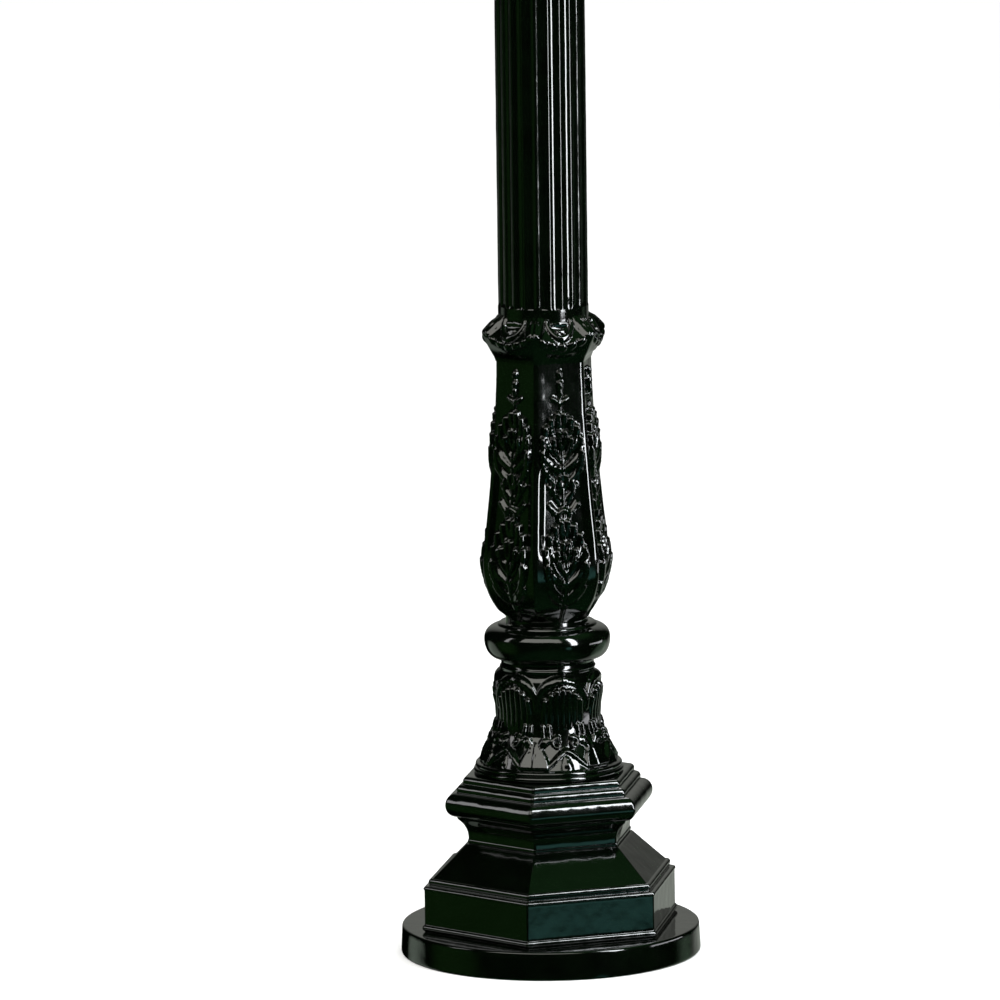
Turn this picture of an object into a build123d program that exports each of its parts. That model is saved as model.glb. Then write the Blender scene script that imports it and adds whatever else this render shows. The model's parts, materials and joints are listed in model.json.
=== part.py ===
from build123d import *
import math
import os

# Pedestal of an ornamental cast column: a round foot plate, a six-sided plinth and cornice, a round
# leaf neck, a collar, a six-sided vase, a capital and the fluted column above it. The hollow castings
# stack over one steel core tube, which a ring nut inside the column draws tight.
# Millimetres. The origin is the centre of the foot plate's underside, +Z goes up the column, and
# one flat of the six-sided castings faces -Y.

# ---- levels of the joints between the castings, up from the ground ----
PLATE_TOP = 28.0
PLINTH_TOP = 118.0
CORNICE_TOP = 182.0
BELL_TOP = 294.0
COLLAR_TOP = 333.0
VASE_TOP = 596.0
CROWN_TOP = 643.0
COLUMN_FOOT = 610.0
COLUMN_TOP = 1000.0

# ---- outer radii; on the six-sided castings they are measured to the corners ----
PLATE_R = 150.0
PLINTH_R = 134.0
NECK_R = 86.5
CORNICE_R = 110.6
BELL_R = 74.0
COLLAR_R = 63.0
VASE_BELLY_R = 66.5
CROWN_LIP_R = 64.5
COLUMN_R = 44.5

# ---- castings ----
SIDES = 6
PLATE_SKIN = 12.0  # metal left over the pockets of the screws that hold the plinth
WALL = 8.0
SPIGOT_R = 36.0
BORE_R = 37.0
FLUTES = 22
FLUTE_CUTTER_R = 10.0
FLUTE_DEPTH = 1.9
FLUTE_START = 653.0
FLUTE_TURN = 5.5
LEDGE_Z = 870.0
LEDGE_R = 30.0
SOCKET_R = 38.0
SOCKET_DEPTH = 70.0

# ---- core tube and its fittings ----
TUBE_R = 24.15
TUBE_BORE_R = 20.95
TUBE_TOP = 902.0
PLATE_BORE_R = 24.0

# ---- fasteners ----
M8_R = 4.0
M8_CLEAR_R = 4.5
M8_HEX = 13.0
M8_HEAD = 5.3
WASHER_R = 8.0
WASHER_T = 1.6
THREAD_GAP = 0.05
ANCHOR_PCD = 184.0
ANCHOR_HOLE_R = 7.0
ANCHOR_COUNT = 4
PIN_R = 3.0
PIN_LENGTH = 18.0


# ---- helpers ----
def tube_solid(outer, inner, low, high):
    """A plain ring about the column's axis between two levels."""
    ring = Circle(outer) - Circle(inner)
    return extrude(Plane.XY.offset(low) * ring, high - low)


def rod_at(x, y, radius, low, high):
    """An upright round rod, or the cutter for an upright hole."""
    return extrude(Plane.XY.offset(low) * Pos(x, y) * Circle(radius), high - low)


def six_sided(levels):
    """A solid through six-sided sections, given as (height, radius to the corners)."""
    sections = [Plane.XY.offset(z) * RegularPolygon(radius, SIDES) for z, radius in levels]
    return loft(sections, ruled=True)


def bead(low, high, root, proud, steps=6):
    """Levels of a half-round bead standing proud of the root radius."""
    middle = (low + high) / 2
    half = (high - low) / 2
    levels = []
    for i in range(steps + 1):
        angle = math.pi * (i / steps - 0.5)
        levels.append((middle + half * math.sin(angle), root + proud * math.cos(angle)))
    return levels


def turned(points):
    """A solid of revolution from its outer outline, (radius, height) pairs from bottom to top."""
    low = points[0][1]
    high = points[-1][1]
    smooth = Spline(*[(r, z) for r, z in points])
    closing = Polyline((points[-1][0], high), (0, high), (0, low), (points[0][0], low))
    return revolve(Plane.XZ * make_face([smooth, closing]), Axis.Z)


def around(count, radius, first=0.0):
    """Places at equal angles about the axis, as (x, y, degrees)."""
    places = []
    for i in range(count):
        angle = first + 360.0 * i / count
        turn = math.radians(angle)
        places.append((radius * math.cos(turn), radius * math.sin(turn), angle))
    return places


def group(solids):
    """Several separate solids in one node."""
    return Compound(children=list(solids))


def washer_at(x, y, low):
    ring = Circle(WASHER_R) - Circle(M8_CLEAR_R)
    return extrude(Plane.XY.offset(low) * Pos(x, y) * ring, WASHER_T)


def screw_up(x, y, seat, length):
    """An M8 hexagon screw pointing up, its head's top face at the seat level."""
    head = extrude(
        Plane.XY.offset(seat - M8_HEAD) * Pos(x, y) * RegularPolygon(M8_HEX / 2, 6, major_radius=False),
        M8_HEAD,
    )
    head = chamfer(head.edges().group_by(Axis.Z)[0], 0.6)
    shank = rod_at(x, y, M8_R - THREAD_GAP, seat, seat + length)
    shank = chamfer(shank.edges().group_by(Axis.Z)[-1], 0.8)
    return head + shank


def screw_down(x, y, seat, length):
    """An M8 hexagon screw pointing down, its head standing on the seat level."""
    return Pos(0, 0, 2 * seat) * mirror(screw_up(x, y, seat, length), about=Plane.XY)


# ---- where the fasteners stand ----
PLINTH_SCREWS = around(SIDES, 114.0)
CORNICE_SCREWS = around(3, 57.0, 30.0)
BELL_SCREWS = around(3, 64.0, 90.0)
FLANGE_SCREWS = around(4, 42.0, 45.0)
ANCHORS = around(ANCHOR_COUNT, ANCHOR_PCD / 2, 45.0)
EARTH_PLACE = (0.0, 72.0)


# ---- castings, from the ground up ----
def make_base_plate():
    """Round cast foot plate that stands on its rim and its bored boss, with the anchor holes."""
    relief = 3.0
    screw_seat = PLATE_TOP - PLATE_SKIN
    plate = Cylinder(PLATE_R, PLATE_TOP, align=(Align.CENTER, Align.CENTER, Align.MIN))
    plate = fillet(plate.edges().group_by(Axis.Z)[-1], 3.0)
    plate -= tube_solid(PLATE_R - 16, 50.0, 0, relief)
    for x, y, _ in PLINTH_SCREWS:
        plate -= rod_at(x, y, 11.0, 0, screw_seat)
        plate -= rod_at(x, y, M8_CLEAR_R, screw_seat, PLATE_TOP)
    for x, y, _ in ANCHORS:
        plate += rod_at(x, y, 15.0, 0, relief)
        plate -= rod_at(x, y, ANCHOR_HOLE_R, 0, PLATE_TOP)
    for x, y, _ in FLANGE_SCREWS:
        plate -= rod_at(x, y, M8_R, PLATE_TOP - 18, PLATE_TOP)
    plate -= rod_at(*EARTH_PLACE, M8_R, PLATE_TOP - 10, PLATE_TOP)
    plate -= rod_at(0, 0, PLATE_BORE_R, 0, PLATE_TOP)
    return plate


def make_plinth():
    """Hollow six-sided casting: an upright wall with a foot bead, then a sloping roof to the neck."""
    ledge = PLATE_TOP + 46.0
    outer = [(PLATE_TOP, PLINTH_R)]
    outer += bead(PLATE_TOP + 1.0, PLATE_TOP + 6.0, PLINTH_R, 1.6)
    outer += [(ledge - 1.5, PLINTH_R), (ledge, PLINTH_R - 1.2), (ledge + 1.5, PLINTH_R - 4.6)]
    outer += bead(ledge + 2.0, ledge + 7.0, PLINTH_R - 6.6, 2.2)
    outer += [(PLINTH_TOP - 4.0, NECK_R + 1.0), (PLINTH_TOP - 2.0, NECK_R), (PLINTH_TOP, NECK_R)]
    body = six_sided(outer)
    neck_floor = PLINTH_TOP - WALL
    body -= six_sided(
        [(PLATE_TOP, PLINTH_R - 9), (ledge - 4, PLINTH_R - 9), (neck_floor, NECK_R - 10)]
    )
    body -= rod_at(0, 0, 46.0, neck_floor, PLINTH_TOP)
    for x, y, _ in PLINTH_SCREWS:
        body += rod_at(x, y, 12.5, PLATE_TOP, PLATE_TOP + 26)
    for x, y, _ in PLINTH_SCREWS:
        body -= rod_at(x, y, M8_R, PLATE_TOP, PLATE_TOP + 20)
    for x, y, _ in CORNICE_SCREWS:
        body -= rod_at(x, y, M8_CLEAR_R, neck_floor, PLINTH_TOP)
    return body


def make_cornice():
    """Hollow six-sided casting: a cove, a large half-round torus and a stepped top."""
    torus_low = PLINTH_TOP + 24.0
    torus_high = PLINTH_TOP + 48.0
    root = CORNICE_R - 12.0
    outer = [
        (PLINTH_TOP, NECK_R),
        (PLINTH_TOP + 3.0, NECK_R),
        (PLINTH_TOP + 7.0, NECK_R + 4.5),
        (PLINTH_TOP + 15.0, NECK_R + 8.5),
        (PLINTH_TOP + 22.0, NECK_R + 11.5),
    ]
    outer += bead(torus_low, torus_high, root, 12.0, steps=10)
    outer += [
        (torus_high + 1.0, root - 1.0),
        (torus_high + 4.0, root - 1.5),
        (torus_high + 6.0, root - 4.0),
        (CORNICE_TOP - 3.0, root - 5.5),
        (CORNICE_TOP - 1.0, root - 6.5),
        (CORNICE_TOP, root - 9.0),
    ]
    body = six_sided(outer)
    floor = PLINTH_TOP + 9.0
    ceiling = CORNICE_TOP - WALL
    body -= six_sided([(floor, NECK_R - 10), (torus_low, root - 10), (ceiling, root - 12)])
    body -= rod_at(0, 0, 46.0, PLINTH_TOP, floor)
    body -= rod_at(0, 0, 54.0, ceiling, CORNICE_TOP)
    for x, y, _ in CORNICE_SCREWS:
        body += rod_at(x, y, 8.5, PLINTH_TOP, PLINTH_TOP + 20)
    for x, y, _ in CORNICE_SCREWS:
        body -= rod_at(x, y, M8_R, PLINTH_TOP, PLINTH_TOP + 20)
    for x, y, _ in BELL_SCREWS:
        body -= rod_at(x, y, M8_CLEAR_R, ceiling, CORNICE_TOP)
    return body


def make_bell_neck():
    """Round bell-shaped neck casting on a double foot ring; its top seats the vase's spigot."""
    ring_top = CORNICE_TOP + 10.0
    outline = [
        (71.5, ring_top),
        (68.0, ring_top + 8),
        (59.5, ring_top + 24),
        (54.0, ring_top + 40),
        (53.5, ring_top + 52),
        (55.5, ring_top + 70),
        (52.5, ring_top + 87),
        (46.0, BELL_TOP),
    ]
    body = turned(outline)
    body += tube_solid(BELL_R + 1.0, 20.0, CORNICE_TOP, CORNICE_TOP + 5.0)
    body += tube_solid(BELL_R - 1.0, 20.0, CORNICE_TOP + 5.0, ring_top)
    cavity = [(56.0, CORNICE_TOP + 8), (44.0, CORNICE_TOP + 48), (42.0, BELL_TOP - 14)]
    body -= turned(cavity)
    body -= rod_at(0, 0, 54.0, CORNICE_TOP, CORNICE_TOP + 8)
    body -= rod_at(0, 0, SPIGOT_R, BELL_TOP - 14, BELL_TOP)
    for x, y, _ in BELL_SCREWS:
        body -= rod_at(x, y, M8_R, CORNICE_TOP, CORNICE_TOP + 8)
    for x, y, _ in around(2, 40.5):
        body -= rod_at(x, y, PIN_R, BELL_TOP - PIN_LENGTH / 2, BELL_TOP)
    return body


def make_collar():
    """Fat round collar ring with a thin fillet above and below."""
    swell_low = BELL_TOP + 4.0
    swell_high = COLLAR_TOP - 3.0
    middle = (swell_low + swell_high) / 2
    outline = [
        (49.0, swell_low),
        (59.0, swell_low + 5),
        (COLLAR_R, middle),
        (60.0, swell_high - 5),
        (50.0, swell_high),
    ]
    body = turned(outline)
    body += tube_solid(47.0, 20.0, BELL_TOP, swell_low)
    body += tube_solid(48.5, 20.0, swell_high, COLLAR_TOP)
    body -= rod_at(0, 0, SPIGOT_R, BELL_TOP, COLLAR_TOP)
    for x, y, _ in around(2, 40.5):
        body -= rod_at(x, y, PIN_R, BELL_TOP, BELL_TOP + PIN_LENGTH / 2)
        body -= rod_at(x, y, PIN_R, COLLAR_TOP - PIN_LENGTH / 2, COLLAR_TOP)
    return body


def make_vase():
    """Six-sided vase casting: a swelling belly on a round foot, tapering up; a spigot runs down."""
    foot_top = COLLAR_TOP + 8.0
    outer = [
        (foot_top, 48.5),
        (foot_top + 8, 53.0),
        (foot_top + 18, 59.5),
        (foot_top + 32, 64.5),
        (foot_top + 50, VASE_BELLY_R),
        (foot_top + 74, 64.8),
        (foot_top + 114, 60.0),
        (foot_top + 156, 56.5),
        (foot_top + 200, 52.0),
        (foot_top + 236, 50.0),
        (VASE_TOP, 50.6),
    ]
    body = six_sided(outer)
    body += tube_solid(46.5, 20.0, COLLAR_TOP, foot_top)
    body += tube_solid(SPIGOT_R - 0.2, 20.0, BELL_TOP - 13, COLLAR_TOP)
    cavity = [
        (BORE_R, COLLAR_TOP + 12),
        (47.0, COLLAR_TOP + 42),
        (49.0, COLLAR_TOP + 72),
        (BORE_R, COLLAR_TOP + 192),
    ]
    body -= turned(cavity)
    body -= rod_at(0, 0, 31.0, BELL_TOP - 14, COLLAR_TOP + 12)
    body -= rod_at(0, 0, BORE_R, COLLAR_TOP + 192, VASE_TOP)
    for x, y, _ in around(2, 40.5):
        body -= rod_at(x, y, PIN_R, COLLAR_TOP, COLLAR_TOP + PIN_LENGTH / 2)
    for x, y, _ in around(2, 41.0):
        body -= rod_at(x, y, PIN_R, VASE_TOP - PIN_LENGTH / 2, VASE_TOP)
    return body


def make_crown():
    """Six-cornered capital: a flared lip over the vase, with a socket for the column's foot."""
    lip = VASE_TOP + 28.0
    outer = [
        (VASE_TOP, 50.6),
        (VASE_TOP + 6, 53.0),
        (VASE_TOP + 14, 57.2),
        (VASE_TOP + 22, 62.6),
        (lip - 2, CROWN_LIP_R),
        (lip + 2, CROWN_LIP_R),
        (lip + 6, 61.0),
        (lip + 10, 55.0),
    ]
    body = six_sided(outer)
    upper = [(52.0, lip + 8), (48.8, lip + 13), (47.0, CROWN_TOP)]
    body += turned(upper)
    body -= rod_at(0, 0, BORE_R, VASE_TOP, COLUMN_FOOT)
    body -= rod_at(0, 0, COLUMN_R + 0.2, COLUMN_FOOT, CROWN_TOP)
    body -= tube_solid(COLUMN_R + 3.6, COLUMN_R, lip, lip + 3.6)
    for x, y, _ in around(2, 41.0):
        body -= rod_at(x, y, PIN_R, VASE_TOP, VASE_TOP + PIN_LENGTH / 2)
    return body


def make_column():
    """Fluted column shaft with a plain foot, an inner ledge for the clamp and a socket at the top."""
    body = tube_solid(COLUMN_R, BORE_R, COLUMN_FOOT, COLUMN_TOP)
    body += tube_solid(BORE_R + 0.5, LEDGE_R, LEDGE_Z, LEDGE_Z + 10)
    body -= rod_at(0, 0, SOCKET_R, COLUMN_TOP - SOCKET_DEPTH, COLUMN_TOP)
    reach = COLUMN_R - FLUTE_DEPTH + FLUTE_CUTTER_R
    for x, y, _ in around(FLUTES, reach, FLUTE_TURN):
        body -= rod_at(x, y, FLUTE_CUTTER_R, FLUTE_START, COLUMN_TOP)
        body -= Pos(x, y, FLUTE_START) * Sphere(FLUTE_CUTTER_R)
    return body


# ---- core tube and fittings ----
def make_core_tube():
    return tube_solid(TUBE_R, TUBE_BORE_R, PLATE_TOP + 4, TUBE_TOP)


def make_floor_flange():
    """Pipe flange on the foot plate; the core tube screws into its hub."""
    body = tube_solid(55.0, PLATE_BORE_R - 2, PLATE_TOP, PLATE_TOP + 7)
    body += tube_solid(33.0, PLATE_BORE_R - 2, PLATE_TOP + 7, PLATE_TOP + 28)
    body = fillet(body.edges().filter_by(GeomType.CIRCLE).group_by(Axis.Z)[-1].sort_by(SortBy.RADIUS)[-1], 2)
    body -= rod_at(0, 0, TUBE_R + THREAD_GAP, PLATE_TOP + 4, PLATE_TOP + 28)
    for x, y, _ in FLANGE_SCREWS:
        body -= rod_at(x, y, M8_CLEAR_R, PLATE_TOP, PLATE_TOP + 7)
    return body


def make_clamp_plate():
    """Steel disc on the column's inner ledge, which the ring nut bears on."""
    body = tube_solid(BORE_R - 0.5, TUBE_R + 0.3, LEDGE_Z + 10, LEDGE_Z + 17)
    return chamfer(body.edges().filter_by(GeomType.CIRCLE).group_by(Axis.Z)[-1], 0.8)


def make_ring_nut():
    """Slotted round nut on the core tube's thread."""
    body = tube_solid(34.0, TUBE_R + THREAD_GAP, LEDGE_Z + 17, LEDGE_Z + 27)
    body = chamfer(body.edges().filter_by(GeomType.CIRCLE).group_by(Axis.Z)[-1], 1.0)
    for x, y, angle in around(4, 34.0):
        slot = Pos(x, y, LEDGE_Z + 22) * Rot(0, 0, angle) * Box(6.0, 7.0, 10.5)
        body -= slot
    return body


def make_tube_bush():
    """Plastic bush that covers the sharp mouth of the core tube."""
    spigot = tube_solid(TUBE_BORE_R - 0.05, 18.0, TUBE_TOP - 14, TUBE_TOP)
    flange = tube_solid(TUBE_R, 18.0, TUBE_TOP, TUBE_TOP + 3)
    body = spigot + flange
    return fillet(body.edges().group_by(Axis.Z)[-1], 1.2)


def make_centring_ring(outer, low):
    """Plastic spacer that keeps the core tube central, with three drain holes."""
    body = tube_solid(outer, TUBE_R + 0.1, low, low + 6)
    for x, y, _ in around(3, (outer + TUBE_R) / 2):
        body -= rod_at(x, y, 3.0, low, low + 6)
    return body


def make_shaft_sleeve():
    """Steel sleeve that joins the vase, the capital and the foot of the column."""
    body = tube_solid(BORE_R - 0.1, BORE_R - 3.6, VASE_TOP - 50, COLUMN_FOOT + 70)
    return chamfer(body.edges().filter_by(GeomType.CIRCLE).group_by(Axis.Z)[-1], 0.8)


def make_shaft_seal():
    """Rubber ring in the capital's groove, round the column's foot."""
    section = Circle(1.75)
    ring = Plane.XZ * Pos(COLUMN_R + 1.8, VASE_TOP + 29.8) * section
    return revolve(ring, Axis.Z)


# ---- fasteners ----
def make_plinth_screws():
    seat = PLATE_TOP - PLATE_SKIN - WASHER_T
    return group([screw_up(x, y, seat, 30.0) for x, y, _ in PLINTH_SCREWS])


def make_plinth_washers():
    seat = PLATE_TOP - PLATE_SKIN - WASHER_T
    return group([washer_at(x, y, seat) for x, y, _ in PLINTH_SCREWS])


def make_cornice_screws():
    seat = PLINTH_TOP - WALL - WASHER_T
    return group([screw_up(x, y, seat, 25.0) for x, y, _ in CORNICE_SCREWS])


def make_cornice_washers():
    seat = PLINTH_TOP - WALL - WASHER_T
    return group([washer_at(x, y, seat) for x, y, _ in CORNICE_SCREWS])


def make_bell_screws():
    seat = CORNICE_TOP - WALL - WASHER_T
    return group([screw_up(x, y, seat, 16.0) for x, y, _ in BELL_SCREWS])


def make_bell_washers():
    seat = CORNICE_TOP - WALL - WASHER_T
    return group([washer_at(x, y, seat) for x, y, _ in BELL_SCREWS])


def make_flange_screws():
    seat = PLATE_TOP + 7.0 + WASHER_T
    return group([screw_down(x, y, seat, 25.0) for x, y, _ in FLANGE_SCREWS])


def make_flange_washers():
    return group([washer_at(x, y, PLATE_TOP + 7.0) for x, y, _ in FLANGE_SCREWS])


def make_locating_pins():
    """Dowels that keep the stacked castings in line: bell to collar, collar to vase, vase to capital."""
    pins = []
    for joint, radius in ((BELL_TOP, 40.5), (COLLAR_TOP, 40.5), (VASE_TOP, 41.0)):
        half = PIN_LENGTH / 2 - 0.2
        for x, y, _ in around(2, radius):
            pins.append(rod_at(x, y, PIN_R - THREAD_GAP, joint - half, joint + half))
    return group(pins)


def make_earth_stud():
    return rod_at(*EARTH_PLACE, M8_R - THREAD_GAP, PLATE_TOP - 10, PLATE_TOP + 24)


def make_earth_washers():
    return group([washer_at(*EARTH_PLACE, PLATE_TOP), washer_at(*EARTH_PLACE, PLATE_TOP + 8.4)])


def make_earth_nuts():
    nuts = []
    for low in (PLATE_TOP + WASHER_T, PLATE_TOP + 8.4 + WASHER_T):
        outline = RegularPolygon(M8_HEX / 2, 6, major_radius=False) - Circle(M8_R)
        nuts.append(extrude(Plane.XY.offset(low) * Pos(*EARTH_PLACE) * outline, 6.5))
    return group(nuts)


PARTS = {
    "base_plate": make_base_plate(),
    "plinth": make_plinth(),
    "cornice": make_cornice(),
    "bell_neck": make_bell_neck(),
    "collar": make_collar(),
    "vase": make_vase(),
    "crown": make_crown(),
    "column": make_column(),
    "core_tube": make_core_tube(),
    "floor_flange": make_floor_flange(),
    "clamp_plate": make_clamp_plate(),
    "ring_nut": make_ring_nut(),
    "tube_bush": make_tube_bush(),
    "lower_centring_ring": make_centring_ring(41.0, BELL_TOP - 40),
    "upper_centring_ring": make_centring_ring(BORE_R - 0.1, VASE_TOP - 62),
    "shaft_sleeve": make_shaft_sleeve(),
    "shaft_seal": make_shaft_seal(),
    "plinth_screws": make_plinth_screws(),
    "plinth_washers": make_plinth_washers(),
    "cornice_screws": make_cornice_screws(),
    "cornice_washers": make_cornice_washers(),
    "bell_screws": make_bell_screws(),
    "bell_washers": make_bell_washers(),
    "flange_screws": make_flange_screws(),
    "flange_washers": make_flange_washers(),
    "locating_pins": make_locating_pins(),
    "earth_stud": make_earth_stud(),
    "earth_washers": make_earth_washers(),
    "earth_nuts": make_earth_nuts(),
}

os.makedirs("parts", exist_ok=True)
for name, shape in PARTS.items():
    export_step(shape, f"parts/{name}.step")
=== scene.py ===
import json
import math

import bpy
import numpy as np
from mathutils import Matrix, Vector


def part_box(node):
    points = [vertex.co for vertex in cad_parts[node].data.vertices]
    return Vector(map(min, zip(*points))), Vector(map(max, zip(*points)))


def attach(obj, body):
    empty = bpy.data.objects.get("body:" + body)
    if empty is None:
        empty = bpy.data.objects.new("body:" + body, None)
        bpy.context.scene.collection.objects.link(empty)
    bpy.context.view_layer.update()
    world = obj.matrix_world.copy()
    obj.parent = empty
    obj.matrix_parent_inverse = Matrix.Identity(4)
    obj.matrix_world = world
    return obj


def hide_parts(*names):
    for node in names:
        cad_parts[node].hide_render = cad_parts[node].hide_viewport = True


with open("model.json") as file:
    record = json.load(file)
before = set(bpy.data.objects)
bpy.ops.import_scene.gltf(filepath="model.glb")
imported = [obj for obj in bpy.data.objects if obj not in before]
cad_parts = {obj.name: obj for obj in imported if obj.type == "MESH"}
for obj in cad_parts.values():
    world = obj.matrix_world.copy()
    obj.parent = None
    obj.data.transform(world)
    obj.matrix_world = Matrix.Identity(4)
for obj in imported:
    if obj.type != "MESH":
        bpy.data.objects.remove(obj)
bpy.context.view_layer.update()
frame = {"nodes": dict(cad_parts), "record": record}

# The whole object is one rigid body. Lengths below are in millimetres and angles in degrees until a
# mesh is built. Heights are counted from DATUM, a level 10 mm under the foot plate. A face angle is
# measured from the middle of one of the six sides, -30 to 30.
MM = 0.001
DATUM = -10.0
BODY = "root"
SIDES = 6
HALF = 180.0 / SIDES
FIRST_FACE = -90.0
BELL_TURN = -3.0


def level(node, top):
    """Height of a node's lowest or highest point above DATUM, in millimetres."""
    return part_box(node)[1 if top else 0][2] / MM - DATUM


GROUND = level("base_plate", False)
PLATE_TOP = level("base_plate", True)
PLINTH_TOP = level("plinth", True)
CORNICE_TOP = level("cornice", True)
BELL_TOP = level("collar", False)
COLLAR_TOP = level("collar", True)
VASE_TOP = level("vase", True)
COLUMN_FOOT = level("column", False)
COLUMN_TOP = level("column", True)
PLATE_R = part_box("base_plate")[1][0] / MM
PLINTH_R = 134.0
NECK_R = 86.5
CORNICE_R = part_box("cornice")[1][0] / MM
COLUMN_R = 44.5
BORE_R = 37.0
SPIGOT_R = 36.0
CABLE_R = 24.0
LEDGE_R, LEDGE_LOW, LEDGE_HIGH = 30.0, 880.0, 890.0
SOCKET_R, SOCKET_DEEP = 38.0, 70.0
FLUTES, FLUTE_CUTTER_R, FLUTE_DEPTH = 22, 10.0, 1.9
FLUTE_TURN = 5.5
FLUTE_START = 663.0
# A shell stops this far short of its neighbours, so that no two faces lie in one plane.
GAP = 0.05


# ---- surfaces ----
def cosd(a):
    return np.cos(np.radians(a))


def sind(a):
    return np.sin(np.radians(a))


def smooth_step(low, high, x):
    t = np.clip((x - low) / (high - low), 0, 1)
    return t * t * (3 - 2 * t)


def soft_max(a, b, k):
    return 0.5 * (a + b + np.sqrt((a - b) ** 2 + k * k))


def soft_min(a, b, k):
    return 0.5 * (a + b - np.sqrt((a - b) ** 2 + k * k))


def hexagon(a, corner, rounding):
    """Radius of a hexagon with rounded corners, at face angle a; corner is its sharp corners' radius."""
    flat = corner * cosd(HALF)
    middle = (flat - rounding) / cosd(HALF)
    turn = HALF - np.abs(a)
    limit = np.degrees(np.arctan2(rounding * 0.5, middle + rounding * cosd(HALF)))
    arc = middle * cosd(turn) + np.sqrt(np.maximum(rounding**2 - (middle * sind(turn)) ** 2, 0))
    return np.where(turn < limit, arc, flat / cosd(a))


def waves(x, y, z, size):
    """A smooth repeatable ripple, about -1 to 1, of a size in millimetres."""
    k = 2 * math.pi / size
    total = np.sin(k * (x + 0.7 * z) + 1.3) * np.sin(k * (0.8 * y - 0.5 * z) + 0.4)
    total += np.sin(k * 1.7 * (y + 0.3 * x) + 2.1) * np.sin(k * 1.3 * (z - 0.6 * x) + 5.0)
    total += np.sin(k * 0.6 * (z + y) + 3.3) * np.sin(k * 0.9 * (x - y) + 0.9)
    return total / 2.2


def soft_path(points, radius, fine=0.4, coarse=3.0):
    """Rows of a moulding: the outline through the points with its corners eased, close together
    where it bends. Points are (radius, height); the result is an array of the same."""
    points = np.array(points, float)
    lengths = np.linalg.norm(np.diff(points, axis=0), axis=1)
    along = np.concatenate([[0], np.cumsum(lengths)])
    s = np.linspace(0, along[-1], int(along[-1] / fine) + 2)
    path = np.stack([np.interp(s, along, points[:, i]) for i in (0, 1)], axis=1)
    reach = max(1, int(3 * radius / fine))
    kernel = np.exp(-0.5 * (np.arange(-reach, reach + 1) * fine / radius) ** 2)
    kernel /= kernel.sum()
    step_in, step_out = path[1] - path[0], path[-1] - path[-2]
    before = path[0] + step_in * np.arange(-reach, 0)[:, None]
    after = path[-1] + step_out * np.arange(1, reach + 1)[:, None]
    padded = np.concatenate([before, path, after])
    path = np.stack([np.convolve(padded[:, i], kernel, "valid") for i in (0, 1)], axis=1)
    heading = np.unwrap(np.arctan2(*np.diff(path, axis=0).T[::-1]))
    bend = np.abs(np.diff(heading, prepend=heading[0]))
    weight = np.maximum(bend / math.radians(9), fine / coarse)
    count = np.concatenate([[0], np.cumsum(weight)])
    rows = np.interp(np.arange(0, count[-1]), count, np.arange(len(count)))
    index = np.arange(len(path))
    kept = np.stack([np.interp(rows, index, path[:, i]) for i in (0, 1)], axis=1)
    return np.concatenate([kept, path[-1:]])


def corner_angles(step):
    """Face angles with extra ones close to the corners, for plain six-sided mouldings."""
    near = HALF - np.array([0, 0.15, 0.3, 0.45, 0.65, 0.9, 1.2, 1.6, 2.2, 3.0, 4.0])
    flat = np.arange(step / 2, HALF - 4.2, step)
    half = np.concatenate([flat, near[::-1]])
    return np.concatenate([-half[::-1], half[:-1]])


def even_angles(count):
    return (np.arange(count) / count - 0.5) * 2 * HALF


def around(values):
    """Rows of one face, repeated for all the faces."""
    return np.tile(values, (1, SIDES))


def all_faces(angles, turn=0.0):
    """Angles all the way round from the face angles of one face."""
    return np.concatenate([angles + FIRST_FACE + turn + 2 * HALF * k for k in range(SIDES)])


def ring_piece(name, node, material, radius, height, theta, inner, ripple=0.12):
    """One casting: a closed ring-shaped mesh. radius and height hold the outside in rows, bottom to
    top, with a value for each angle theta; inner is the plain hollow, (radius, height) from the top."""
    x, y = radius * cosd(theta), radius * sind(theta)
    radius = radius + ripple * (waves(x, y, height, 64.0) + 0.5 * waves(y, x, height, 23.0))
    inner = np.array(inner, float)
    radius = np.concatenate([radius, np.repeat(inner[:, :1], len(theta), axis=1)])
    height = np.concatenate([height, np.repeat(inner[:, 1:], len(theta), axis=1)])
    points = np.stack([radius * cosd(theta), radius * sind(theta), height + DATUM], axis=2) * MM
    total, columns = radius.shape
    j, i = np.meshgrid(np.arange(total), np.arange(columns), indexing="ij")
    up, right = (j + 1) % total, (i + 1) % columns
    quads = np.stack(
        [j * columns + i, j * columns + right, up * columns + right, up * columns + i], axis=2
    ).reshape(-1, 4)
    mesh = bpy.data.meshes.new(name)
    mesh.vertices.add(total * columns)
    mesh.vertices.foreach_set("co", points.reshape(-1))
    mesh.loops.add(len(quads) * 4)
    mesh.loops.foreach_set("vertex_index", quads.reshape(-1).astype(np.int32))
    mesh.polygons.add(len(quads))
    mesh.polygons.foreach_set("loop_start", np.arange(0, len(quads) * 4, 4, dtype=np.int32))
    mesh.polygons.foreach_set("use_smooth", np.ones(len(quads), dtype=bool))
    mesh.update(calc_edges=True)
    mesh.validate()
    mesh.set_sharp_from_angle(angle=math.radians(50))
    piece = bpy.data.objects.new(name, mesh)
    bpy.context.scene.collection.objects.link(piece)
    mesh.materials.append(material)
    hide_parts(node)
    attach(piece, BODY)
    return piece


def moulding(name, node, material, path, inner, angles, rounding, ripple=0.12):
    """A plain six-sided or round casting from one moulding path; rounding None makes it round."""
    corner = path[:, :1]
    if rounding is None:
        radius = np.repeat(corner, len(angles), axis=1)
    else:
        radius = hexagon(angles[None, :], corner, rounding)
    height = np.repeat(path[:, 1:], len(angles), axis=1)
    ring_piece(name, node, material, around(radius), around(height), all_faces(angles), inner, ripple)


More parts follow.
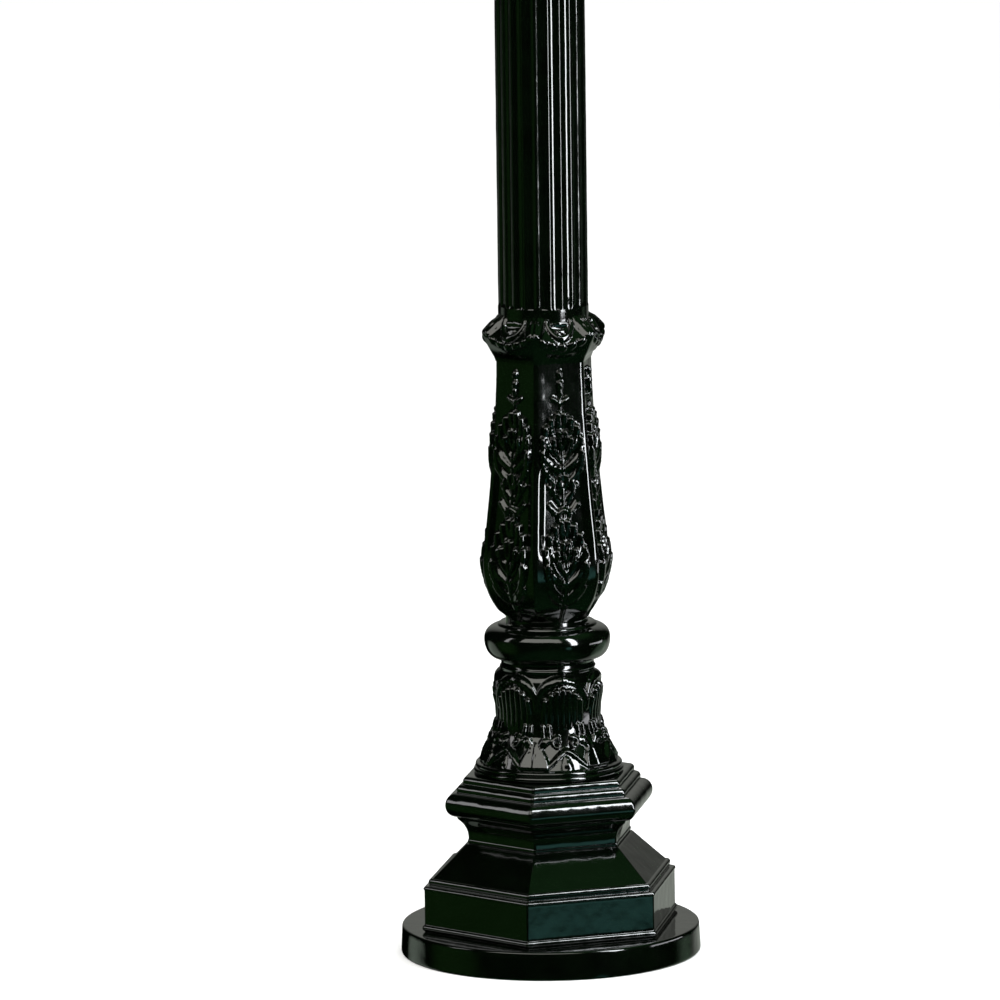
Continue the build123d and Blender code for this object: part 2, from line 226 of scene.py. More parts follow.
def quarter(radius, height, size, start, end, steps=9):
    """Points of a round moulding about (radius, height), between two angles above level."""
    angles = np.radians(np.linspace(start, end, steps))
    return [(radius + size * math.cos(t), height + size * math.sin(t)) for t in angles]


# ---- relief ornament ----
def bezier(points, count=22):
    """A smooth curve through control points of a Bezier of any degree."""
    points = np.array(points, float)
    t = np.linspace(0, 1, count)[:, None]
    degree = len(points) - 1
    total = np.zeros((count, 2))
    for k, p in enumerate(points):
        total += math.comb(degree, k) * t**k * (1 - t) ** (degree - k) * p
    return total


class Relief:
    """Heights in millimetres over a face, u across it and v up it."""

    def __init__(self, u, v, blend):
        self.u, self.v = u, v
        self.blend = blend
        self.height = np.zeros_like(u)

    def add(self, raised):
        """Lay a shape over the relief and ease the crease where they meet, only where it is raised."""
        ease = self.blend * np.clip(raised, 0, 1)
        self.height = soft_max(self.height, raised, ease)

    def measure(self, line, reach):
        """Distance to a line, side of it and place along it, at the points within reach."""
        low, high = line.min(axis=0) - reach, line.max(axis=0) + reach
        near = (self.u > low[0]) & (self.u < high[0]) & (self.v > low[1]) & (self.v < high[1])
        p = np.stack([self.u[near], self.v[near]], axis=1)
        best = np.full(len(p), 1e9)
        along = np.zeros(len(p))
        side = np.zeros(len(p))
        total = len(line) - 1
        for k in range(total):
            a, d = line[k], line[k + 1] - line[k]
            t = np.clip(((p - a) @ d) / (d @ d), 0, 1)
            away = p - a - t[:, None] * d
            distance = np.hypot(away[:, 0], away[:, 1])
            closer = distance < best
            best = np.where(closer, distance, best)
            along = np.where(closer, (k + t) / total, along)
            cross = d[0] * away[:, 1] - d[1] * away[:, 0]
            side = np.where(closer, np.sign(cross), side)
        return near, best, side, along

    def stroke(self, points, width, height, vein=0.0, power=0.5, mirrored=True):
        """A raised lobe along a curve. width and height are (start, middle, end) half width and
        height; vein cuts a groove along its middle; power shapes its section."""
        flips = (1, -1) if mirrored else (1,)
        for flip in flips:
            line = bezier([(flip * p[0], p[1]) for p in points])
            near, distance, _, along = self.measure(line, max(width))
            if not near.any():
                continue
            w = np.interp(along, [0, 0.5, 1], width)
            h = np.interp(along, [0, 0.5, 1], height)
            s = np.clip(distance / w, 0, 1)
            section = (1 - s * s) ** power
            if vein:
                section = section - vein * np.exp(-((s / 0.22) ** 2)) * np.sin(np.pi * along) ** 0.5
            raised = np.zeros_like(self.height)
            raised[near] = np.where(distance < w, h * section, 0)
            self.add(raised)

    def knob(self, u, v, radius, height, mirrored=True):
        """A raised round boss."""
        for flip in (1, -1) if mirrored and u else (1,):
            s = np.hypot(self.u - flip * u, self.v - v) / radius
            self.add(np.where(s < 1, height * np.sqrt(np.maximum(1 - s * s, 0)), 0))

    def scroll(self, u, v, radius, height, width, turns=1.25, start=90.0, hand=1):
        """A small volute: a round bead wound inwards about (u, v), mirrored across the face."""
        t = np.linspace(0, 1, 40)
        angle = np.radians(start + hand * 360 * turns * t)
        r = radius * (1 - 0.8 * t)
        for flip in (1, -1):
            line = np.stack([flip * (u + r * np.cos(angle)), v + r * np.sin(angle)], axis=1)
            near, distance, _, along = self.measure(line, width)
            w = width * (1 - 0.35 * along)
            raised = np.zeros_like(self.height)
            s = np.clip(distance / w, 0, 1)
            raised[near] = np.where(distance < w, height * np.sqrt(1 - s * s) * (1 + 0.3 * along), 0)
            self.add(raised)


# ---- castings ----
def make_foot_plate(material):
    outline = [(PLATE_R - 1.3, GROUND + GAP), (PLATE_R - 0.3, GROUND + 1.1)]
    outline += [(PLATE_R - 1.5, PLATE_TOP - 1.5), (PLATE_R - 2.9, PLATE_TOP)]
    outline += [(PLINTH_R * cosd(HALF) - 6, PLATE_TOP)]
    path = soft_path(outline, 0.6)
    inner = [(CABLE_R, PLATE_TOP), (CABLE_R, GROUND + GAP)]
    moulding("foot_plate", "base_plate", material, path, inner, even_angles(40), None)


def make_plinth(material):
    ledge = PLATE_TOP + 46.0
    outline = [(PLINTH_R - 0.8, PLATE_TOP + GAP), *quarter(PLINTH_R - 1.2, PLATE_TOP + 4.0, 3.2, -75, 75)]
    outline += [(PLINTH_R - 0.6, PLATE_TOP + 8.0), (PLINTH_R - 0.6, ledge - 3.2)]
    outline += [*quarter(PLINTH_R - 2.2, ledge - 2.4, 2.6, -20, 85), (PLINTH_R - 6.0, ledge + 0.6)]
    outline += [*quarter(PLINTH_R - 8.6, ledge + 4.4, 3.4, -40, 80), (PLINTH_R - 9.6, ledge + 7.2)]
    outline += [(NECK_R + 1.6, PLINTH_TOP - 4.4), *quarter(NECK_R - 2.6, PLINTH_TOP - 1.8, 3.2, -60, 30)]
    path = soft_path(outline, 0.35, fine=0.25)
    inner = [(46.0, PLINTH_TOP - GAP), (46.0, PLINTH_TOP - 8), (62.0, PLINTH_TOP - 8)]
    inner += [(100.0, ledge - 6), (100.0, PLATE_TOP + GAP)]
    moulding("plinth_shell", "plinth", material, path, inner, corner_angles(1.5), 2.0)


def make_cornice(material):
    root = CORNICE_R - 12.0
    centre = PLINTH_TOP + 36.0
    outline = [(NECK_R - 0.4, PLINTH_TOP + GAP), (NECK_R - 0.4, PLINTH_TOP + 3.0)]
    outline += [(NECK_R + 0.2, PLINTH_TOP + 7.0), (NECK_R + 1.6, PLINTH_TOP + 11.0)]
    outline += [(NECK_R + 4.4, PLINTH_TOP + 15.6), (NECK_R + 8.4, PLINTH_TOP + 19.4)]
    outline += [(root - 1.0, PLINTH_TOP + 21.6), (root - 0.4, PLINTH_TOP + 23.6)]
    outline += [*quarter(root, centre, 12.0, -90, 90, 19), (root - 1.0, centre + 12.6)]
    outline += [*quarter(root - 6.0, centre + 14.6, 5.4, -10, 84), (root - 7.4, centre + 20.6)]
    outline += [(root - 7.4, centre + 22.0), *quarter(root - 11.8, centre + 23.2, 4.6, -10, 88)]
    outline += [(64.0, CORNICE_TOP - GAP)]
    path = soft_path(outline, 0.45, fine=0.3)
    inner = [(54.0, CORNICE_TOP - GAP), (54.0, CORNICE_TOP - 8), (70.0, CORNICE_TOP - 8)]
    inner += [(64.0, PLINTH_TOP + 9), (46.0, PLINTH_TOP + 9), (46.0, PLINTH_TOP + GAP)]
    moulding("cornice_shell", "cornice", material, path, inner, corner_angles(1.5), 3.0, 0.16)


def make_collar(material):
    """Fullest a little above its middle, with a long underside and a tighter shoulder."""
    tall = COLLAR_TOP - BELL_TOP
    widest = BELL_TOP + 0.58 * tall
    swell = [
        (47.6 + 15.2 * math.cos(t) ** 0.8, widest + (0.5 if t < 0 else 0.34) * tall * math.sin(t))
        for t in np.linspace(-1.5, 1.5, 23)
    ]
    outline = [(46.5, BELL_TOP + GAP), (46.9, BELL_TOP + 1.8), *swell]
    outline += [(48.8, COLLAR_TOP - 1.6), (47.0, COLLAR_TOP - GAP)]
    path = soft_path(outline, 0.6)
    inner = [(SPIGOT_R, COLLAR_TOP - GAP), (SPIGOT_R, BELL_TOP + GAP)]
    moulding("collar_ring", "collar", material, path, inner, even_angles(32), None, 0.14)


def make_column(material):
    pitch = 360.0 / FLUTES
    rows = np.concatenate(
        [np.linspace(COLUMN_FOOT, 652, 12), np.arange(652.6, 672, 0.7), np.arange(674, COLUMN_TOP - 3, 9)]
    )
    rows = np.concatenate([rows, COLUMN_TOP - np.array([2.4, 1.2, 0.5, 0.15, 0.05])])
    theta = all_faces(even_angles(64))
    z = rows[:, None]
    off = (theta[None, :] - FLUTE_TURN + pitch / 2) % pitch - pitch / 2
    size = np.sqrt(np.maximum(FLUTE_CUTTER_R**2 - np.minimum(z - FLUTE_START, 0) ** 2, 0))
    reach = COLUMN_R - FLUTE_DEPTH + FLUTE_CUTTER_R
    inside = size**2 - (reach * sind(off)) ** 2
    groove = np.where(inside > 0, reach * cosd(off) - np.sqrt(np.maximum(inside, 0)), COLUMN_R + 3)
    plain = COLUMN_R - 1.4 * smooth_step(COLUMN_TOP - 1.6, COLUMN_TOP, z) + 0 * off
    radius = soft_min(plain, groove, 0.55)
    height = np.repeat(z, radius.shape[1], axis=1)
    socket = COLUMN_TOP - SOCKET_DEEP
    inner = [(SOCKET_R, COLUMN_TOP - GAP), (SOCKET_R, socket), (BORE_R, socket), (BORE_R, LEDGE_HIGH)]
    inner += [(LEDGE_R, LEDGE_HIGH), (LEDGE_R, LEDGE_LOW), (BORE_R, LEDGE_LOW), (BORE_R, COLUMN_FOOT)]
    ring_piece("column_shaft", "column", material, radius, height, theta, inner, 0.1)


def palmette(relief, tips, width, height):
    """A leaf of paired lobes. Each leaves the stem well below its tip and sweeps outward and up."""
    for u, v in tips:
        root = v - 14 - 1.1 * u
        points = [(0.8, root), (1.15 * u, root + 0.35 * (v - root)), (u, v)]
        relief.stroke(points, (0.6 * width, width, width), (0.35 * height, 0.75 * height, height),
                      vein=0.2, power=0.6)


def side_lobe(relief, u, v, rise, width, height):
    """A short lobe that leaves the stem at height v and rises outward to (u, v + rise)."""
    relief.stroke([(1.5, v - 4), (0.6 * u, v), (u, v + rise)], (0.6 * width, width, 0.9 * width),
                  (0.6 * height, height, 0.9 * height), vein=0.25, power=0.6)


def vase_relief(u, v):
    """Acanthus on one side of the vase: a stem with two full leaves, a husk between and buds above."""
    relief = Relief(u, v, 0.6)
    relief.stroke([(0, 350), (0, 470), (0, 598)], (2.6, 2.2, 1.4), (2.0, 3.2, 2.2), mirrored=False)
    for side, height, rise in ((17, 372, 12), (20, 392, 13)):
        side_lobe(relief, side, height, rise, 4.6, 4.2)
    palmette(relief, [(18.5, 408), (19.0, 423), (15.5, 436), (9.5, 445), (3.2, 450)], 4.0, 5.6)
    palmette(relief, [(8.5, 422), (3.0, 429)], 3.2, 7.2)
    relief.stroke([(-6, 450), (-7.5, 466), (7.5, 466), (6, 450)], (2.4, 3.0, 2.4), (3.4, 5.8, 3.4),
                  mirrored=False)
    for side, height, rise in ((15, 458, 9), (14, 476, 9)):
        side_lobe(relief, side, height, rise, 3.4, 3.8)
    palmette(relief, [(9.5, 489), (3.6, 495)], 2.8, 5.2)
    for side, height, rise in ((18, 490, 11), (20, 506, 14)):
        side_lobe(relief, side, height, rise, 4.0, 4.6)
    palmette(relief, [(18.5, 519), (18.5, 532), (15.0, 543), (9.5, 551), (3.0, 556)], 3.8, 5.6)
    palmette(relief, [(8.0, 532), (3.0, 539)], 3.0, 7.2)
    relief.stroke([(1, 567), (4, 570), (8, 572)], (2.2, 2.6, 2.0), (3.2, 3.8, 3.0))
    for height, size in ((578, 2.8), (585, 3.2), (595, 3.0)):
        relief.stroke([(0, height - 1.6), (0, height), (0, height + 1.6)], (size, size, size),
                      (4.4, 4.4, 4.4), mirrored=False)
    return relief.height


def make_vase(material):
    z = np.linspace(COLLAR_TOP + GAP, VASE_TOP - GAP, 236)
    profile = [(343, 47.0), (347, 46.2), (351, 47.4), (358, 52.6), (368, 59.0), (380, 64.0)]
    profile += [(392, 66.6), (404, 67.2), (424, 65.6), (444, 63.2), (464, 60.8), (484, 58.6)]
    profile += [(504, 57.0), (524, 55.0), (544, 53.2), (564, 51.9), (585, 50.9), (606, 50.4)]
    corner = smooth_curve(z, *np.array(profile).T)[:, None]
    flat = corner * cosd(HALF)
    bed = flat - 2.2 * (smooth_step(408, 430, z) * smooth_step(508, 486, z))[:, None]
    angles = even_angles(66)
    a = angles[None, :]
    rounding = 5.0 + 36.0 * (1 - smooth_step(345, 358, z))[:, None]
    base = hexagon(a, corner, np.minimum(rounding, flat - 0.5))
    u = flat * np.tan(np.radians(a))
    v = np.repeat(z[:, None], len(angles), axis=1)
    edge = corner * 0.5 - np.abs(u)
    inside = smooth_step(3.5, 10.5, edge)
    dish = 0.4 * smooth_step(26, 0, np.abs(u)) * smooth_step(365, 385, v)
    panel = base - (flat - bed + dish) * inside / cosd(a)
    raised = vase_relief(u, v) * smooth_step(1.5, 9.0, edge)
    raised = raised * (1 + 0.05 * waves(u, v, u - v, 11.0))
    ornament = np.where(raised > 0.25, (bed - dish + raised) / cosd(a), 0)
    radius = soft_max(panel, ornament, 0.25)
    inner = [(BORE_R, VASE_TOP - GAP), (BORE_R, 535.0), (40.0, 430.0), (40.0, 385.0), (31.0, 355.0)]
    inner += [(31.0, COLLAR_TOP + GAP)]
    ring_piece("vase_body", "vase", material, around(radius), around(v), all_faces(angles), inner)


def smooth_curve(x, xs, ys):
    """A curve through points with no corners: a cubic with slopes from the neighbours."""
    slope = np.gradient(ys, xs)
    k = np.clip(np.searchsorted(xs, x) - 1, 0, len(xs) - 2)
    h = xs[k + 1] - xs[k]
    t = np.clip((x - xs[k]) / h, 0, 1)
    a = (1 + 2 * t) * (1 - t) ** 2 * ys[k] + t * (1 - t) ** 2 * h * slope[k]
    return a + t * t * (3 - 2 * t) * ys[k + 1] + t * t * (t - 1) * h * slope[k + 1]


def bell_relief(u, v):
    """One sixth of the neck: a lumpy shell arch over reeds, a pair of volutes and a pointed ridge."""
    relief = Relief(u, v, 0.5)
    for k in range(-3, 4):
        top = 281 - 1.2 * k * k
        relief.stroke([(6.4 * k, 244), (6.5 * k, 262), (6.1 * k, top)], (2.4, 2.9, 3.2), (0.6, 1.6, 3.8),
                      power=0.6, mirrored=False)
    relief.stroke([(27, 262), (28, 301), (-28, 301), (-27, 262)], (3.2, 5.0, 3.2), (1.8, 5.0, 1.8),
                  mirrored=False)
    for place in (15.0, 21.0):
        relief.stroke([(place, 235), (place, 240), (place, 245)], (2.6, 2.8, 2.4), (2.8, 3.6, 2.6))
    relief.scroll(8.0, 229.0, 5.6, 3.8, 2.5, turns=1.0, start=100, hand=-1)
    relief.stroke([(11, 230), (17, 234), (23, 230), (26, 223)], (3.0, 4.6, 3.0), (2.8, 4.8, 2.4))
    relief.stroke([(0, 222), (8, 219), (14, 211), (23, 205)], (2.6, 2.8, 2.0), (3.6, 3.6, 1.6), power=0.6)
    relief.stroke([(0, 214), (0, 209), (0, 205)], (2.6, 4.4, 5.0), (1.2, 2.2, 0.8), mirrored=False)
    return relief.height


def make_bell(material):
    ring = [*quarter(71.6, CORNICE_TOP + 2.8, 3.2, -70, 70), *quarter(70.4, CORNICE_TOP + 7.8, 2.8, -50, 85)]
    ring = soft_path([(71.6, CORNICE_TOP + GAP), *ring, (69.8, CORNICE_TOP + 10.8)], 0.3, fine=0.25)
    z = np.linspace(CORNICE_TOP + 11.2, BELL_TOP - GAP, 122)
    profile = [(203, 68.6), (206, 67.0), (212, 64.0), (220, 59.8), (230, 55.0), (242, 52.0)]
    profile += [(255, 51.4), (268, 51.8), (280, 51.2), (288, 49.4), (294, 47.0), (296.5, 46.6)]
    profile += [(298.5, 47.6), (300.5, 46.4), (304, 45.6)]
    plain = smooth_curve(z, *np.array(profile).T)[:, None]
    angles = even_angles(78)
    a = angles[None, :]
    u = plain * np.radians(a)
    v = np.repeat(z[:, None], len(angles), axis=1)
    relief = bell_relief(u, v)
    edge = plain * np.radians(HALF - np.abs(a))
    reach = 6.0 + 11.0 * smooth_step(230, 208, v)
    blade = smooth_step(1.0, 0.72, edge / reach) * smooth_step(236, 224, v) * smooth_step(203, 207, v)
    hollow = 2.0 + 2.2 * (edge / reach) ** 2 + 1.1 * np.exp(-((edge / 1.5) ** 2))
    relief = soft_max(relief, blade * hollow, 0.25)
    relief = relief * (1 + 0.05 * waves(u, v, u - v, 11.0))
    outer = np.concatenate([np.repeat(ring[:, :1], len(angles), axis=1), plain + relief])
    height = np.concatenate([np.repeat(ring[:, 1:], len(angles), axis=1), v])
    inner = [(SPIGOT_R, BELL_TOP - GAP), (SPIGOT_R, 290.0), (41.0, 290.0), (42.0, 240.0), (54.0, 202.0)]
    inner += [(54.0, CORNICE_TOP + GAP)]
    theta = all_faces(angles, BELL_TURN)
    ring_piece("leaf_neck", "bell_neck", material, around(outer), around(height), theta, inner)


def crown_relief(u, s):
    """Leaves on one side of the capital; s runs up the outside from the lip's edge."""
    relief = Relief(u, s, 0.4)
    relief.stroke([(-12, 21), (-14, 1), (14, 1), (12, 21)], (2.6, 3.4, 2.6), (2.6, 3.8, 2.6), mirrored=False)
    relief.stroke([(-8, 18.5), (0, 20), (8, 18.5)], (1.8, 2.2, 1.8), (2.2, 2.8, 2.2), mirrored=False)
    relief.stroke([(-2.4, 12.5), (0, 12.5), (2.4, 12.5)], (3.0, 3.0, 3.0), (2.6, 2.8, 2.6), mirrored=False)
    relief.stroke([(17, 25), (22, 14), (26, 4)], (4.0, 5.4, 4.0), (2.4, 3.6, 2.0), vein=0.35, power=0.6)
    for place in (0, 10, 20):
        relief.knob(place, -2.5, 4.6, 2.2)
    return relief.height


def make_crown(material):
    path = [(50.8, VASE_TOP + GAP), (52.6, 611), (55.6, 616), (59.0, 622.4), (62.2, 628.4), (64.4, 633.2)]
    path += [(65.0, 635.6), (63.8, 637.6), (60.0, 640.6), (54.8, 644.2), (50.4, 648.0), (47.8, 652.2)]
    path += [(46.4, 656.4), (45.2, 659.6)]
    path = soft_path(path, 0.8, fine=0.4, coarse=0.8)
    step = np.gradient(path, axis=0)
    length = np.linalg.norm(step, axis=1)
    s = np.cumsum(length)
    s = s - s[np.argmax(path[:, 0])]
    out_r, out_z = step[:, 1] / length, -step[:, 0] / length
    angles = even_angles(78)
    a = angles[None, :]
    corner, z = path[:, :1], path[:, 1:]
    rounding = 3.0 + 38.0 * smooth_step(640, 655, z)
    base = hexagon(a, corner, np.minimum(rounding, corner * cosd(HALF) - 0.3))
    u = base * sind(a)
    relief = crown_relief(u, np.repeat(s[:, None], len(angles), axis=1))
    relief = relief * smooth_step(659, 654, z)
    dip = 9.5 * (1 - (np.abs(a) / HALF) ** 1.5) * smooth_step(609, 628, z) * smooth_step(654, 636, z)
    radius = base + relief * out_r[:, None]
    height = z - dip + relief * out_z[:, None]
    inner = [(COLUMN_R + 0.3, 659.6), (COLUMN_R + 0.3, COLUMN_FOOT), (BORE_R, COLUMN_FOOT)]
    inner += [(BORE_R, VASE_TOP + GAP)]
    ring_piece("capital", "crown", material, around(radius), around(height), all_faces(angles), inner)


# ---- materials ----
def new_material(name):
    material = bpy.data.materials.new(name)
    material.use_nodes = True
    nodes = material.node_tree.nodes
    return material, nodes, material.node_tree.links, nodes["Principled BSDF"]


def noise(nodes, links, scale, detail=3.0, roughness=0.55, distortion=0.0):
    """3-D noise over the object's own coordinates, in which one unit is a metre."""
    coordinates = nodes.new("ShaderNodeTexCoord")
    texture = nodes.new("ShaderNodeTexNoise")
    texture.inputs["Scale"].default_value = scale
    texture.inputs["Detail"].default_value = detail
    texture.inputs["Roughness"].default_value = roughness
    texture.inputs["Distortion"].default_value = distortion
    links.new(coordinates.outputs["Object"], texture.inputs["Vector"])
    return texture.outputs["Fac"]


def ramp(nodes, links, value, stops):
    node = nodes.new("ShaderNodeValToRGB")
    while len(node.color_ramp.elements) < len(stops):
        node.color_ramp.elements.new(0.5)
    for element, (place, colour) in zip(node.color_ramp.elements, stops, strict=True):
        element.position = place
        element.color = (*colour, 1.0)
    links.new(value, node.inputs["Fac"])
    return node.outputs["Color"]


def spread(nodes, links, value, low, high):
    node = nodes.new("ShaderNodeMapRange")
    node.inputs["To Min"].default_value = low
    node.inputs["To Max"].default_value = high
    links.new(value, node.inputs["Value"])
    return node.outputs["Result"]


def bump(nodes, links, value, strength, distance, before=None):
    node = nodes.new("ShaderNodeBump")
    node.inputs["Strength"].default_value = strength
    node.inputs["Distance"].default_value = distance
    links.new(value, node.inputs["Height"])
    if before is not None:
        links.new(before, node.inputs["Normal"])
    return node.outputs["Normal"]


def paint_material():
    """Thick gloss enamel on a casting: near black with a green cast, and a gently uneven surface."""
    material, nodes, links, shader = new_material("gloss_black_enamel")
    tint = noise(nodes, links, 38.0, 4.0)
    colour = ramp(nodes, links, tint, [(0.3, (0.0002, 0.0005, 0.0002)), (0.7, (0.0005, 0.0014, 0.0005))])
    links.new(colour, shader.inputs["Base Color"])
    haze = noise(nodes, links, 90.0, 5.0, 0.6)
    links.new(spread(nodes, links, haze, 0.05, 0.13), shader.inputs["Roughness"])
    shader.inputs["IOR"].default_value = 1.5
    shader.inputs["Coat Weight"].default_value = 0.25
    shader.inputs["Coat Roughness"].default_value = 0.03
    swell = noise(nodes, links, 55.0, 2.0, 0.5)
    grain = noise(nodes, links, 420.0, 2.0, 0.5)
    normal = bump(nodes, links, swell, 0.2, 0.0012)
    normal = bump(nodes, links, grain, 0.08, 0.0002, normal)
    links.new(normal, shader.inputs["Normal"])
    return material


def metal_material(name, dark, light, roughness, scale, metallic=1.0):
    """Plated or bare metal with cloudy colour, uneven gloss and a fine grain."""
    material, nodes, links, shader = new_material(name)
    cloud = noise(nodes, links, scale, 5.0, 0.6, 0.4)
    links.new(ramp(nodes, links, cloud, [(0.3, dark), (0.7, light)]), shader.inputs["Base Color"])
    shader.inputs["Metallic"].default_value = metallic
    patch = noise(nodes, links, scale * 2.3, 3.0)
    links.new(
        spread(nodes, links, patch, roughness - 0.08, roughness + 0.1), shader.inputs["Roughness"]
    )
    grain = noise(nodes, links, scale * 9.0, 3.0)
    links.new(bump(nodes, links, grain, 0.25, 0.0002), shader.inputs["Normal"])
    return material


def dress_inner_parts():
    """Materials for the CAD pieces inside, by the record's slot of each."""
    looks = {
        "zinc_steel": metal_material("zinc_plate", (0.38, 0.39, 0.4), (0.66, 0.66, 0.62), 0.3, 160.0),
        "galvanised_steel": metal_material("galvanised", (0.26, 0.28, 0.3), (0.5, 0.52, 0.54), 0.45, 70.0),
        "malleable_iron": metal_material(
            "malleable_iron", (0.02, 0.02, 0.02), (0.06, 0.055, 0.05), 0.6, 90.0, 0.6
        ),
        "nylon": metal_material("nylon", (0.6, 0.59, 0.53), (0.72, 0.71, 0.65), 0.5, 60.0, 0.0),
        "black_rubber": metal_material(
            "rubber", (0.012, 0.012, 0.012), (0.03, 0.03, 0.03), 0.65, 120.0, 0.0
        ),
        "brass": metal_material("brass", (0.5, 0.36, 0.12), (0.76, 0.58, 0.25), 0.3, 140.0),
    }
    for row in frame["record"]["subparts"]:
        node = frame["nodes"][row["node"]]
        if row["material_slot"] in looks:
            node.data.materials.clear()
            node.data.materials.append(looks[row["material_slot"]])


# ---- stage ----
CAMERA_AZIMUTH = -20.0
CAMERA_AWAY = 7.5
CAMERA_HEIGHT = 1.65
CAMERA_ROLL = -0.76
CAMERA_FOCAL = 275.8
AIM_HEIGHT = 0.4547
AIM_ASIDE = -0.0452


def make_camera():
    toward = Vector((sind(CAMERA_AZIMUTH), -cosd(CAMERA_AZIMUTH), 0.0))
    right = Vector((cosd(CAMERA_AZIMUTH), sind(CAMERA_AZIMUTH), 0.0))
    place = toward * CAMERA_AWAY + Vector((0, 0, CAMERA_HEIGHT))
    aim = right * AIM_ASIDE + Vector((0, 0, AIM_HEIGHT))
    data = bpy.data.cameras.new("camera")
    data.lens = CAMERA_FOCAL
    data.clip_end = 200.0
    camera = bpy.data.objects.new("camera", data)
    turn = (aim - place).to_track_quat("-Z", "Y").to_matrix().to_4x4()
    roll = Matrix.Rotation(math.radians(CAMERA_ROLL), 4, "Z")
    camera.matrix_world = Matrix.Translation(place) @ turn @ roll
    bpy.context.scene.collection.objects.link(camera)
    bpy.context.scene.camera = camera


def direction(bearing, elevation):
    """A direction from the object, at a bearing from the camera, positive to its right."""
    angle = CAMERA_AZIMUTH + bearing
    flat = cosd(elevation)
    return Vector((sind(angle) * flat, -cosd(angle) * flat, sind(elevation)))


def softbox(name, bearing, away, low, high, width, radiance, colour=(1.0, 1.0, 1.0)):
    """An upright rectangle of light facing the object, seen only as light and in reflections."""
    data = bpy.data.lights.new(name, "AREA")
    data.shape = "RECTANGLE"
    data.size, data.size_y = width, high - low
    data.energy = math.pi * width * (high - low) * radiance
    data.color = colour
    light = bpy.data.objects.new(name, data)
    facing = direction(bearing, 0.0)
    place = facing * away + Vector((0, 0, (low + high) / 2))
    light.matrix_world = Matrix.Translation(place) @ (-facing).to_track_quat("-Z", "Y").to_matrix().to_4x4()
    light.visible_camera = False
    bpy.context.scene.collection.objects.link(light)


def make_floor():
    mesh = bpy.data.meshes.new("floor")
    size, below = 60.0, -0.0005
    corners = [(-size, -size), (size, -size), (size, size), (-size, size)]
    mesh.from_pydata([(x, y, below) for x, y in corners], [], [(0, 1, 2, 3)])
    floor = bpy.data.objects.new("floor", mesh)
    material, _, _, shader = new_material("pale_floor")
    shader.inputs["Base Color"].default_value = (0.86, 0.86, 0.86, 1)
    shader.inputs["Roughness"].default_value = 0.9
    mesh.materials.append(material)
    bpy.context.scene.collection.objects.link(floor)
    floor.visible_glossy = False


def glow(nodes, links, view, bearing, elevation, inner, outer, colour):
    """A soft patch of the room's light about a direction, full within the inner angle."""
    dot = nodes.new("ShaderNodeVectorMath")
    dot.operation = "DOT_PRODUCT"
    dot.inputs[1].default_value = direction(bearing, elevation)
    links.new(view, dot.inputs[0])
    fall = nodes.new("ShaderNodeMapRange")
    fall.interpolation_type = "SMOOTHSTEP"
    fall.inputs["From Min"].default_value = cosd(outer)
    fall.inputs["From Max"].default_value = cosd(inner)
    links.new(dot.outputs["Value"], fall.inputs["Value"])
    patch = nodes.new("ShaderNodeVectorMath")
    patch.operation = "SCALE"
    patch.inputs[0].default_value = colour
    links.new(fall.outputs["Result"], patch.inputs["Scale"])
    return patch.outputs["Vector"]


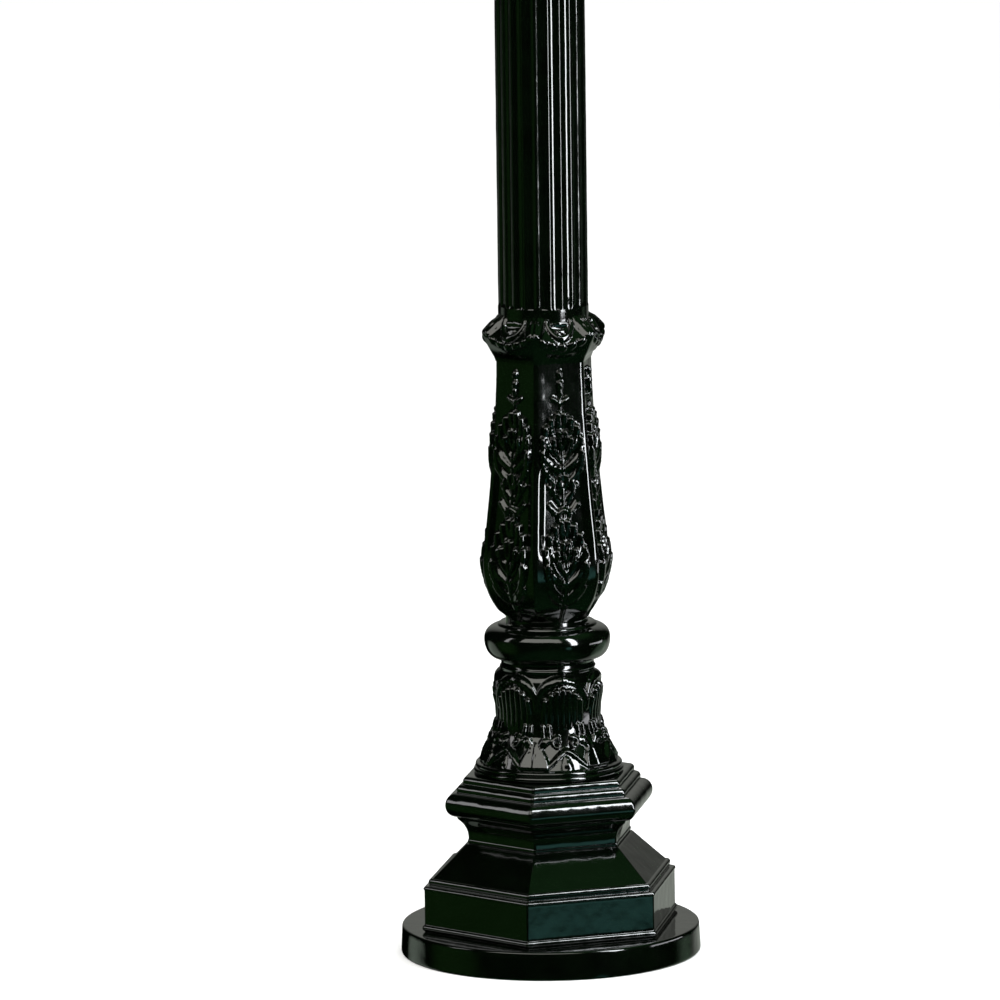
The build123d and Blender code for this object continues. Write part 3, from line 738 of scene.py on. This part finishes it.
def make_world():
    """White light for the floor and a dim room, paler behind, for what the gloss paint mirrors."""
    world = bpy.data.worlds.new("studio")
    world.use_nodes = True
    bpy.context.scene.world = world
    nodes, links = world.node_tree.nodes, world.node_tree.links
    nodes.clear()
    path = nodes.new("ShaderNodeLightPath")
    bright = nodes.new("ShaderNodeBackground")
    bright.inputs["Color"].default_value = (1, 1, 1, 1)
    bright.inputs["Strength"].default_value = 1.2
    view = nodes.new("ShaderNodeTexCoord").outputs["Generated"]
    total = glow(nodes, links, view, 0, 90, 180, 181, (0.005, 0.014, 0.0055))
    patches = [
        (160, -38, 24, 37, (0.37, 0.4, 0.355)),
        (180, 22, 12, 34, (0.28, 0.29, 0.265)),
        (-128, -24, 12, 21, (0.45, 0.54, 0.45)),
        (125, -26, 12, 22, (0.2, 0.3, 0.21)),
        (75, 66, 15, 45, (0.045, 0.15, 0.045)),
        (0, -65, 25, 60, (0.012, 0.06, 0.02)),
        (40, -16, 1, 7, (0.2, 0.6, 0.54)),
        (-80, -14, 5, 30, (0.03, 0.1, 0.02)),
    ]
    for bearing, elevation, inner, outer, colour in patches:
        patch = glow(nodes, links, view, bearing, elevation, inner, outer, colour)
        add = nodes.new("ShaderNodeVectorMath")
        links.new(total, add.inputs[0])
        links.new(patch, add.inputs[1])
        total = add.outputs["Vector"]
    room = nodes.new("ShaderNodeBackground")
    links.new(total, room.inputs["Color"])
    mix = nodes.new("ShaderNodeMixShader")
    output = nodes.new("ShaderNodeOutputWorld")
    links.new(path.outputs["Is Glossy Ray"], mix.inputs["Fac"])
    links.new(bright.outputs["Background"], mix.inputs[1])
    links.new(room.outputs["Background"], mix.inputs[2])
    links.new(mix.outputs["Shader"], output.inputs["Surface"])


def make_stage():
    make_camera()
    make_floor()
    make_world()
    softbox("key", 51.0, 3.2, 0.22, 4.2, 0.66, 24.0, (0.93, 0.97, 1.0))
    softbox("front", -15.0, 2.6, 1.8, 5.0, 4.4, 3.0, (1.0, 1.0, 0.92))
    softbox("left", -82.0, 3.2, 0.9, 3.2, 0.5, 3.5)
    softbox("side", 100.0, 2.6, -0.2, 0.1, 1.7, 4.0, (0.95, 0.96, 1.0))
    softbox("back", 170.0, 2.8, 2.4, 4.6, 1.4, 4.0)
    bpy.context.scene.view_settings.view_transform = "Standard"


paint = paint_material()
make_foot_plate(paint)
make_plinth(paint)
make_cornice(paint)
make_bell(paint)
make_collar(paint)
make_vase(paint)
make_crown(paint)
make_column(paint)
dress_inner_parts()
make_stage()
